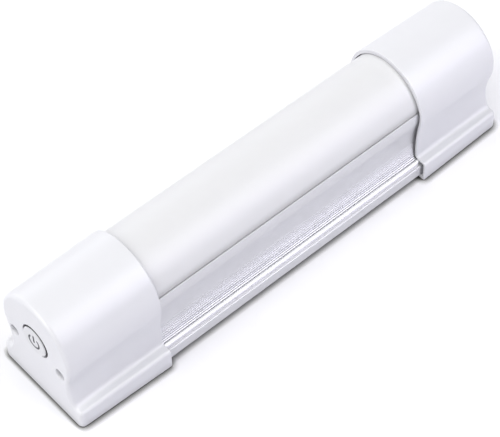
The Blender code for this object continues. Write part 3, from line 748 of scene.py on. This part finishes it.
def cover_outline():
    """The cover's arched shell, with a leg on each edge that snaps behind the base's lip."""
    edge_z = LIP_TOP + SEAM
    inner_radius = COVER_RADIUS - COVER_WALL
    lowest = math.asin((edge_z + COVER_EDGE - TUBE_Z) / (COVER_RADIUS - COVER_EDGE))
    outer = arc((0, TUBE_Z), COVER_RADIUS, math.pi / 2, lowest, 64)
    outer[0] = (0.0, outer[0][1])
    middle = ((COVER_RADIUS - COVER_EDGE) * math.cos(lowest), edge_z + COVER_EDGE)
    outer += arc(middle, COVER_EDGE, lowest, -math.pi / 2, 10)[1:]
    leg_outer_y = BEAD_Y - GAP
    leg = [
        (leg_outer_y, edge_z),
        (leg_outer_y, COVER_BARB_TOP),
        (COVER_BARB_Y, COVER_BARB_TOP - COVER_BARB_SLOPE),
        (leg_outer_y, COVER_LEG_BOTTOM),
        (COVER_LEG_Y, COVER_LEG_BOTTOM),
        (COVER_LEG_Y, edge_z),
    ]
    inner = arc((0, TUBE_Z), inner_radius, COVER_INNER_EDGE, math.pi / 2, 48)
    return both_sides(outer + leg + inner[:-1] + [(0.0, TUBE_Z + inner_radius)])


def make_cover():
    """Frosted cover over the LED board."""
    low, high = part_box("diffuser")
    cover = prism("frosted_cover", cover_outline(), (low.x, high.x))
    placed(dressed(cover, frosted), "root", "frosted_cover", "diffuser")


# ---------------------------------------------------------------- power button
def make_button():
    """Power button: a rounded white face whose skirt, flange and stem are painted black as painted shade,
    so the gap round the face reads dark.
    """
    low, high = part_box("power_button")
    middle = (0, 0, middle_of("power_button")[2])
    flange_radius = (high.z - low.z) / 2
    flange_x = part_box("switch_end_cap")[0].x + CAP_FACE + GAP
    stations = []
    for i in range(9):
        turn = math.pi / 2 * i / 8
        x = low.x + BUTTON_EDGE * (1 - math.cos(turn))
        stations.append((x, BUTTON_RADIUS - BUTTON_EDGE * (1 - math.sin(turn))))
    stations += [
        (low.x + BUTTON_PROUD, BUTTON_RADIUS),
        (flange_x, BUTTON_RADIUS),
        (flange_x, flange_radius),
        (flange_x + BUTTON_FLANGE, flange_radius),
        (flange_x + BUTTON_FLANGE, BUTTON_STEM_RADIUS),
        (high.x, BUTTON_STEM_RADIUS),
    ]
    button = turned("button_cap", stations, middle, segments=96)
    button.data.materials.append(button_plastic)
    button.data.materials.append(black_plastic)
    # Painted shade: every face behind the rounded front, the skirt in the gap included, is painted black
    # so the gap round the button reads dark
    for face in button.data.polygons:
        if face.center.x > low.x + BUTTON_PROUD:
            face.material_index = 1
    placed(dressed(button), "power_button", "white_button", "power_button")


def make_symbol():
    """Power symbol on the button's face: an open ring and a bar."""
    face_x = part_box("power_button")[0].x
    middle_z = middle_of("power_button")[2]
    x_range = (face_x - SYMBOL_RELIEF, face_x + SYMBOL_DEPTH)
    start = math.pi / 2 + SYMBOL_OPENING
    end = math.pi * 2.5 - SYMBOL_OPENING
    outer = arc((0, 0), SYMBOL_RADIUS + SYMBOL_STROKE, start, end, 56)
    inner = arc((0, 0), SYMBOL_RADIUS - SYMBOL_STROKE, end, start, 56)
    band = prism("symbol_ring", [(y, z + middle_z) for y, z in outer + inner], x_range)
    low_cap = arc((0, SYMBOL_BAR_Z[0]), SYMBOL_STROKE, math.pi, 2 * math.pi, 8)
    high_cap = arc((0, SYMBOL_BAR_Z[1]), SYMBOL_STROKE, 0, math.pi, 8)
    bar = prism("symbol_bar", [(y, z + middle_z) for y, z in low_cap + high_cap], x_range)
    symbol = merged("power_symbol", [band, bar])
    placed(dressed(symbol, symbol_ink), "power_button", "white_button")


make_switch_cap()
make_charge_cap()
make_base()
make_cover()
make_button()
make_symbol()

# ---------------------------------------------------------------- small parts inside
# For faces that look along an axis: the indices across, along and up
FLAT_AXES = {"X": (1, 2, 0), "Z": (0, 1, 2)}

# Each circuit board, the axis that its screws lie on, and its screws' labels
BOARD_SCREWS = (("switch_board", "X", ("lower", "upper")), ("charge_board", "Z", ("left", "right")))


def rounded_rectangle(middle, half, radius, steps=4):
    """Points of a rectangle with rounded corners."""
    points = []
    for quarter, (a, b) in enumerate(((1, 1), (-1, 1), (-1, -1), (1, -1))):
        corner = (middle[0] + a * (half[0] - radius), middle[1] + b * (half[1] - radius))
        start = quarter * math.pi / 2
        points += arc(corner, radius, start, start + math.pi / 2, steps)
    return points


def flat_ring(low, high, depth, radius, height, axis):
    """The outline of a box seen along an axis, moved inwards by depth, at a height on that axis."""
    across, along, up = FLAT_AXES[axis]
    middle = ((low[across] + high[across]) / 2, (low[along] + high[along]) / 2)
    half = ((high[across] - low[across]) / 2 - depth, (high[along] - low[along]) / 2 - depth)
    ring = []
    for a, b in rounded_rectangle(middle, half, max(radius - depth, SHARP_CORNER)):
        point = [0.0, 0.0, 0.0]
        point[across], point[along], point[up] = a, b, height
        ring.append(tuple(point))
    return ring


def slab(name, low, high, edge, radius, axis="Z", material=None):
    """A flat body with rounded corners and chamfered edges; its faces look along the axis."""
    up = FLAT_AXES[axis][2]
    levels = ((low[up], edge), (low[up] + edge, 0.0), (high[up] - edge, 0.0), (high[up], edge))
    body = loft(name, [flat_ring(low, high, depth, radius, height, axis) for height, depth in levels])
    if material:
        body.data.materials.append(material)
    return body


def painted(body, material):
    body.data.materials.append(material)
    return body


def make_led(node):
    """White package with a sunken phosphor window, on its two solder pads."""
    low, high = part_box(node)
    top = high.z
    outside = (
        (low.z, LED_FOOT_EDGE), (low.z + LED_FOOT_EDGE, 0.0),
        (top - LED_TOP_EDGE, 0.0), (top, LED_TOP_EDGE),
    )
    window = ((top, LED_WALL), (top - LED_WINDOW_DEPTH, LED_WALL + LED_WINDOW_SLOPE))
    rings = [flat_ring(low, high, depth, LED_CORNER, z, "Z") for z, depth in outside]
    rings += [flat_ring(low, high, depth, LED_WINDOW_CORNER, z, "Z") for z, depth in window]
    package = painted(loft("package", rings), package_white)
    package.data.materials.append(phosphor)
    package.data.polygons[-1].material_index = 1
    parts = [package]
    for side in (-1, 1):
        x = (low.x + high.x) / 2 + side * LED_PAD_X
        pad_low = (x - LED_PAD_HALF, low.y + LED_PAD_INSET, low.z - SOLDER)
        pad_high = (x + LED_PAD_HALF, high.y - LED_PAD_INSET, low.z)
        parts.append(slab("pad", pad_low, pad_high, 0.04 * MM, 0.1 * MM, "Z", steel))
    piece = merged(f"{node}_package", parts)
    placed(dressed(piece), "root", "led_package", node)


def make_screw(node, axis, outward, head_radius, head_height, shank_radius):
    """Pan-head screw with a thread and a cross recess; outward is the way its head looks."""
    low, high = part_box(node)
    index = "XYZ".index(axis)
    length = high[index] - low[index]
    top = list((low + high) / 2)
    top[index] = high[index] if outward > 0 else low[index]
    stations = []
    for i in range(HEAD_STEPS + 1):
        turn = math.pi / 2 * i / HEAD_STEPS
        depth = HEAD_DOME * head_height * (1 - math.cos(turn))
        stations.append((depth, head_radius * (0.5 + 0.5 * math.sin(turn))))
    stations += [(head_height, head_radius), (head_height, shank_radius)]
    depth = head_height + THREAD_PITCH
    while depth < length - 2 * THREAD_PITCH:
        stations += [(depth, shank_radius), (depth + THREAD_PITCH / 2, THREAD_ROOT * shank_radius)]
        depth += THREAD_PITCH
    stations.append((length - 1.5 * THREAD_PITCH, THREAD_ROOT * shank_radius))
    stations.append((length, SCREW_TIP * shank_radius))
    screw = turned("screw", [(-outward * d, r) for d, r in stations], top, axis, 32)
    others = [i for i in range(3) if i != index]
    steps = []
    for across, along in (others, others[::-1]):
        corners = []
        for sign, reach in ((-1, -CROSS_DEPTH * head_height), (1, MM)):
            corner = list(top)
            corner[across] += sign * CROSS_REACH * head_radius
            corner[along] += sign * CROSS_HALF_WIDTH * head_radius
            corner[index] += outward * reach
            corners.append(corner)
        tool_low = [min(pair) for pair in zip(*corners)]
        tool_high = [max(pair) for pair in zip(*corners)]
        tool = slab("recess", tool_low, tool_high, 0.02 * MM, 0.05 * MM, axis)
        steps.append(("DIFFERENCE", tool))
    shaped(screw, steps)
    screw.name = f"{node}_threaded"
    placed(dressed(screw, steel), "root", "plated_steel", node)


def make_battery():
    """Cell in its shrink sleeve, with a crimped shoulder, a steel nub and a steel bottom."""
    low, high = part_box("battery_cell")
    radius = (high.z - low.z) / 2
    place = (0, *middle_of("battery_cell")[1:])
    end = high.x - NUB_HEIGHT
    groove = radius - GROOVE_DEPTH
    start, deep, rise, stop = (end - distance for distance in GROOVE_X)
    bottom_opening, top_opening = WRAP_OPENING
    wrap = [(low.x + 0.1 * MM, radius - bottom_opening), (low.x + 0.15 * MM, radius - bottom_opening / 2)]
    wrap += [(low.x + 0.5 * MM, radius), (start, radius), (deep, groove), (rise, groove), (stop, radius)]
    wrap += [(end - 0.5 * MM, radius), (end - 0.1 * MM, radius - top_opening / 4)]
    wrap.append((end, radius - top_opening))
    nub = [(end - 0.2 * MM, NUB_RADIUS + 0.8 * MM), (end + 0.1 * MM, NUB_RADIUS + 0.6 * MM)]
    nub += [(end + 0.2 * MM, NUB_RADIUS + 0.1 * MM), (high.x - 0.15 * MM, NUB_RADIUS)]
    nub.append((high.x, NUB_RADIUS - 0.2 * MM))
    can = [(low.x, radius - CAN_DROP - 0.3 * MM), (low.x + 0.12 * MM, radius - CAN_DROP)]
    can.append((low.x + 0.3 * MM, radius - CAN_DROP))
    parts = [
        painted(turned("wrap", wrap, place, "X", 72), sleeve),
        painted(turned("nub", nub, place, "X", 40), steel),
        painted(turned("can", can, place, "X", 64), steel),
    ]
    cell = merged("sleeved_cell", parts)
    placed(dressed(cell), "root", "cell_sleeve", "battery_cell")


def make_inlet():
    """Charging inlet: a drawn shell with a rolled mouth, and a tongue with two rows of contacts."""
    low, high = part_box("usb_inlet")
    half_width = (high.y - low.y) / 2
    half_height = (high.z - low.z) / 2
    middle_z = middle_of("usb_inlet")[2]

    def slot_ring(x, depth):
        points = rounded_slot(half_width - depth, half_height - depth, 16)
        return [(x, y, z + middle_z) for y, z in points]

    outer = [(low.x, 0.15 * MM), (low.x + 0.15 * MM, 0.0), (high.x - 0.12 * MM, 0.0), (high.x, 0.12 * MM)]
    shell = loft("inlet_shell", [slot_ring(x, depth) for x, depth in outer])
    mouth = INLET_WALL - 0.1 * MM
    inner = [(low.x + INLET_FLOOR, INLET_WALL), (high.x - 0.1 * MM, INLET_WALL)]
    inner += [(high.x, mouth), (high.x + MM, mouth)]
    shaped(shell, [("DIFFERENCE", loft("inlet_tool", [slot_ring(x, depth) for x, depth in inner]))])
    placed(dressed(shell, shell_metal), "root", "plated_steel", "usb_inlet")
    low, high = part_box("usb_tongue")
    parts = [slab("core", low, high, 0.12 * MM, 0.4 * MM, "Z", black_plastic)]
    for i in range(CONTACT_COUNT):
        y = (i - (CONTACT_COUNT - 1) / 2) * CONTACT_PITCH
        for face in (low.z - 0.01 * MM, high.z - 0.03 * MM):
            start = (high.x - CONTACT_SPAN[0], y - CONTACT_HALF_WIDTH, face)
            end = (high.x - CONTACT_SPAN[1], y + CONTACT_HALF_WIDTH, face + 0.04 * MM)
            parts.append(slab("contact", start, end, 0.01 * MM, 0.03 * MM, "Z", contact_gold))
    tongue = merged("inlet_tongue", parts)
    placed(dressed(tongue), "root", "black_plastic", "usb_tongue")


def make_board_parts():
    """Chip with its legs, inductor with its end plates, and capacitor with its end caps."""
    low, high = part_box("charger_chip")
    body_low = (low.x, low.y + LEG_LENGTH - LEG_OVERLAP, low.z)
    body_high = (high.x, high.y - LEG_LENGTH + LEG_OVERLAP, high.z)
    parts = [slab("chip", body_low, body_high, 0.12 * MM, 0.15 * MM, "Z", black_plastic)]
    dot = [(high.z - 0.1 * MM, CHIP_MARK_RADIUS), (high.z + 0.005 * MM, CHIP_MARK_RADIUS)]
    dot_place = (low.x + CHIP_MARK[0], low.y + CHIP_MARK[1], 0)
    parts.append(painted(turned("mark", dot, dot_place, "Z", 24), package_white))
    for i in range(LEG_COUNT):
        x = (low.x + high.x) / 2 + (i - (LEG_COUNT - 1) / 2) * LEG_PITCH
        for y_range in ((low.y, low.y + LEG_LENGTH), (high.y - LEG_LENGTH, high.y)):
            leg_low = (x - LEG_HALF_WIDTH, y_range[0], low.z - SOLDER)
            leg_high = (x + LEG_HALF_WIDTH, y_range[1], low.z + LEG_TOP)
            parts.append(slab("leg", leg_low, leg_high, 0.05 * MM, 0.05 * MM, "Z", steel))
    chip = merged("charger_chip_legged", parts)
    placed(dressed(chip), "root", "black_plastic", "charger_chip")
    for node, material, slot, edge, wrap in (
        ("power_inductor", ferrite, "ferrite", 0.35 * MM, INDUCTOR_WRAP),
        ("filter_capacitor", ceramic, "ceramic", 0.08 * MM, CAPACITOR_WRAP),
    ):
        low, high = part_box(node)
        inside = 0.04 * MM
        core_low = (low.x + inside, low.y + inside, low.z + inside)
        core_high = (high.x - inside, high.y - inside, high.z - inside)
        parts = [slab("core", core_low, core_high, edge, 2 * edge, "Z", material)]
        for end_low, end_high in ((low.x, low.x + wrap), (high.x - wrap, high.x)):
            cap_top = low.z + LEG_TOP if node == "power_inductor" else high.z
            cap_low = (end_low, low.y, low.z - 0.2 * MM)
            cap_high = (end_high, high.y, cap_top)
            parts.append(slab("end", cap_low, cap_high, 0.06 * MM, 0.12 * MM, "Z", steel))
        piece = merged(f"{node}_soldered", parts)
        placed(dressed(piece), "root", slot, node)


def make_boards():
    """LED board, and the two green boards with plated rings round their screw holes."""
    low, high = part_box("led_board")
    board = slab("led_strip_board", low, high, BOARD_EDGE, 1.2 * MM)
    placed(dressed(board, white_mask), "root", "led_board_metal", "led_board")
    for node, axis, labels in BOARD_SCREWS:
        low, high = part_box(node)
        index = "XYZ".index(axis)
        board = slab("board", low, high, BOARD_EDGE, 1.0 * MM, axis)
        rings = []
        for label in labels:
            screw_low, screw_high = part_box(f"{node}_screw_{label}")
            place = list((screw_low + screw_high) / 2)
            place[index] = 0.0
            span = (low[index] - MM, high[index] + MM)
            hole = turned("hole", [(d, PILOT_RADIUS) for d in span], place, axis, 32)
            shaped(board, [("DIFFERENCE", hole)])
            ring_span = (high[index] - 0.02 * MM, high[index] + 0.03 * MM)
            ring = turned("ring", [(d, PILOT_RADIUS + PLATED_RING) for d in ring_span], place, axis, 40)
            bore = turned("bore", [(d, PILOT_RADIUS + 0.01 * MM) for d in span], place, axis, 40)
            rings.append(painted(shaped(ring, [("DIFFERENCE", bore)]), contact_gold))
        piece = merged(f"{node}_plated", [painted(board, green_mask)] + rings)
        placed(dressed(piece), "root", "green_board", node)


def make_switch():
    """Push switch: black body with a bore for its plunger, and a steel front plate on four rivets."""
    low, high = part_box("tact_switch")
    plunger_low, plunger_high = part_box("switch_plunger")
    bore_radius = (plunger_high.z - plunger_low.z) / 2 + GAP
    middle = (0, *middle_of("tact_switch")[1:])
    plate_x = low.x + SWITCH_PLATE
    body = slab("body", (plate_x, low.y, low.z), high, 0.1 * MM, 0.3 * MM, "X", black_plastic)
    plate = slab("plate", low, (plate_x, high.y, high.z), 0.06 * MM, 0.4 * MM, "X", steel)
    bore_end = plunger_high.x + MM + GAP
    parts = []
    for part in (body, plate):
        bore = turned("bore", [(low.x - MM, bore_radius), (bore_end, bore_radius)], middle, "X", 40)
        parts.append(shaped(part, [("DIFFERENCE", bore)]))
    for a in (-1, 1):
        for b in (-1, 1):
            place = (0, middle[1] + a * RIVET_OUT, middle[2] + b * RIVET_OUT)
            rivet = [(low.x - 0.12 * MM, 0.2 * MM), (low.x - 0.05 * MM, RIVET_RADIUS)]
            rivet.append((plate_x, RIVET_RADIUS))
            parts.append(painted(turned("rivet", rivet, place, "X", 20), black_plastic))
    switch = merged("push_switch", parts)
    placed(dressed(switch), "root", "black_plastic", "tact_switch")


LED_NODES = sorted(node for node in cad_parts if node.startswith("led_") and node[4:].isdigit())
for led in LED_NODES:
    make_led(led)
for end, outward in (("switch", -1), ("charge", 1)):
    for hand in ("left", "right"):
        make_screw(f"end_screw_{end}_{hand}", "X", outward, *END_SCREW)
for board, axis, labels in BOARD_SCREWS:
    for label in labels:
        make_screw(f"{board}_screw_{label}", axis, 1, *BOARD_SCREW)
make_battery()
make_inlet()
make_board_parts()
make_boards()
make_switch()

# ---------------------------------------------------------------- pieces that keep their CAD shape
CARRIED = {
    "switch_plunger": black_plastic, "cell_pad_switch_end": foam, "cell_pad_charge_end": foam,
    "battery_lead_positive": red_skin, "led_lead_positive": red_skin, "switch_lead_live": red_skin,
    "battery_lead_negative": black_skin, "led_lead_negative": black_skin,
    "switch_lead_return": black_skin,
}
for node, material in CARRIED.items():
    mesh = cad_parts[node].data
    mesh.materials.clear()
    mesh.materials.append(material)

# ---------------------------------------------------------------- floor, light and camera
FLOOR_HALF = 6.0
FLOOR_DROP = 0.02 * MM
# Painted contact shadow on the floor: how far it reaches, less far past the switch end, and how sharply
# it darkens each colour channel
PAINTED_SHADOW_REACH = 2.6 * MM
PAINTED_SHADOW_REACH_END = 1.7 * MM
PAINTED_SHADOW_POWERS = (2.4, 2.4, 2.5)

# The studio's glows: degrees round from +X, degrees up, sharpness, and colour
GLOWS = (
    (45, 15, 8, (0.56, 0.56, 0.57)),
    (90, 15, 8, (2.50, 2.51, 2.64)),
    (150, 45, 8, (0.42, 0.42, 0.42)),
    (180, 15, 8, (1.06, 1.06, 1.12)),
    (180, 45, 8, (3.07, 3.06, 2.95)),
    (0, 90, 4, (1.46, 1.48, 1.36)),
    (-44, 56, 50, (2.45, 2.48, 2.44)),
    (-56, 43.5, 50, (5.95, 5.90, 6.06)),
    (-63, 26, 50, (5.07, 4.92, 5.88)),
)

# A weak lamp in front of the bar
FILL_HEADING = (-51, 15)
FILL_DISTANCE = 0.55
FILL_SIDE = 0.3
FILL_POWER = 0.31
FILL_COLOUR = (0.88, 0.87, 1.0)

# The camera: its turn, its height over the floor and its roll in degrees, its lens in millimetres
VIEW_TURN = -40.77
VIEW_HEIGHT = 51.74
VIEW_ROLL = -1.37
VIEW_LENS = 135.7
VIEW_PLACE = (-0.2629, -0.29905, 0.51361)


def floor_paper():
    """Matt paper, a little lavender, with a painted contact shadow: its colour darkens by ambient
    occlusion in the last few millimetres before the bar.
    """
    paper = surface("floor_paper", (0.76, 0.757, 0.795), 0.9, specular=0.1, bump=0.001)
    nodes = paper.node_tree.nodes
    links = paper.node_tree.links
    colour = nodes["Principled BSDF"].inputs["Base Color"]
    tone = colour.links[0].from_socket
    # Painted shadow: ambient occlusion darkens the paper's colour near the bar, over a shorter reach past
    # the switch end
    nearness = added(nodes, "AmbientOcclusion")
    nearness.samples = 12
    place = added(nodes, "TexCoord")
    along = added(nodes, "SeparateXYZ")
    reach = added(nodes, "MapRange", {
        "From Min": cad_box[0].x - 0.5 * MM,
        "From Max": cad_box[0].x + 0.5 * MM,
        "To Min": PAINTED_SHADOW_REACH_END,
        "To Max": PAINTED_SHADOW_REACH,
    })
    links.new(place.outputs["Object"], along.inputs[0])
    links.new(along.outputs["X"], reach.inputs["Value"])
    links.new(reach.outputs["Result"], nearness.inputs["Distance"])
    contact = added(nodes, "CombineXYZ")
    for channel, power in zip("XYZ", PAINTED_SHADOW_POWERS):
        depth = added(nodes, "Math", {1: power}, operation="POWER")
        links.new(nearness.outputs["AO"], depth.inputs[0])
        links.new(depth.outputs[0], contact.inputs[channel])
    shade = added(nodes, "VectorMath", operation="MULTIPLY")
    links.new(tone, shade.inputs[0])
    links.new(contact.outputs["Vector"], shade.inputs[1])
    links.new(shade.outputs["Vector"], colour)
    return paper


def make_floor():
    """A plain pale floor that the bar stands on."""
    corners = [(a * FLOOR_HALF, b * FLOOR_HALF) for a, b in ((-1, -1), (1, -1), (1, 1), (-1, 1))]
    mesh = bpy.data.meshes.new("floor")
    mesh.from_pydata([(x, y, -FLOOR_DROP) for x, y in corners], [], [(0, 1, 2, 3)])
    floor = body_from("floor", mesh)
    mesh.materials.append(floor_paper())


def heading(azimuth, elevation):
    """A direction from degrees round from +X, and degrees up from the floor."""
    turn, rise = math.radians(azimuth), math.radians(elevation)
    return Vector((math.cos(turn) * math.cos(rise), math.sin(turn) * math.cos(rise), math.sin(rise)))


def make_front_fill():
    """A weak rectangular lamp in front of the bar's charging half, that faces the middle of the bar."""
    data = bpy.data.lights.new("front_fill", "AREA")
    data.shape = "RECTANGLE"
    data.size = FILL_SIDE
    data.size_y = FILL_SIDE
    data.energy = FILL_POWER
    data.color = FILL_COLOUR
    lamp = bpy.data.objects.new("front_fill", data)
    away = heading(*FILL_HEADING)
    lamp.location = away * FILL_DISTANCE
    lamp.rotation_euler = away.to_track_quat("Z", "Y").to_euler()
    bpy.context.scene.collection.objects.link(lamp)


def make_world():
    """A studio all round the bar, lit by the soft glows."""
    world = bpy.data.worlds.new("studio")
    bpy.context.scene.world = world
    world.use_nodes = True
    nodes = world.node_tree.nodes
    links = world.node_tree.links
    background = nodes["Background"]
    place = added(nodes, "TexCoord")
    total = None
    for azimuth, elevation, sharpness, colour in GLOWS:
        facing = added(nodes, "VectorMath", {1: heading(azimuth, elevation)}, operation="DOT_PRODUCT")
        links.new(place.outputs["Generated"], facing.inputs[0])
        front = added(nodes, "Math", {1: 0.0}, operation="MAXIMUM")
        links.new(facing.outputs["Value"], front.inputs[0])
        falloff = added(nodes, "Math", {1: sharpness}, operation="POWER")
        links.new(front.outputs[0], falloff.inputs[0])
        glow = added(nodes, "VectorMath", {0: colour}, operation="SCALE")
        links.new(falloff.outputs[0], glow.inputs["Scale"])
        if total:
            both = added(nodes, "VectorMath", operation="ADD")
            links.new(total, both.inputs[0])
            links.new(glow.outputs["Vector"], both.inputs[1])
            total = both.outputs["Vector"]
        else:
            total = glow.outputs["Vector"]
    links.new(total, background.inputs["Color"])


def make_camera():
    """Camera at the viewing angle of the product view."""
    turn = math.radians(VIEW_TURN)
    roll = math.radians(VIEW_ROLL)
    back = heading(VIEW_TURN - 90, VIEW_HEIGHT)
    right = Vector((math.cos(turn), math.sin(turn), 0.0))
    up = back.cross(right)
    rolled_right = right * math.cos(roll) + up * math.sin(roll)
    rolled_up = up * math.cos(roll) - right * math.sin(roll)
    data = bpy.data.cameras.new("product_view")
    data.sensor_width = 36.0
    data.lens = VIEW_LENS
    data.clip_start = 0.01
    data.clip_end = 50.0
    camera = bpy.data.objects.new("product_view", data)
    matrix = Matrix((rolled_right, rolled_up, back)).transposed().to_4x4()
    matrix.translation = Vector(VIEW_PLACE)
    camera.matrix_world = matrix
    bpy.context.scene.collection.objects.link(camera)
    bpy.context.scene.camera = camera


make_floor()
make_world()
make_front_fill()
make_camera()
bpy.context.scene.view_settings.view_transform = "Standard"
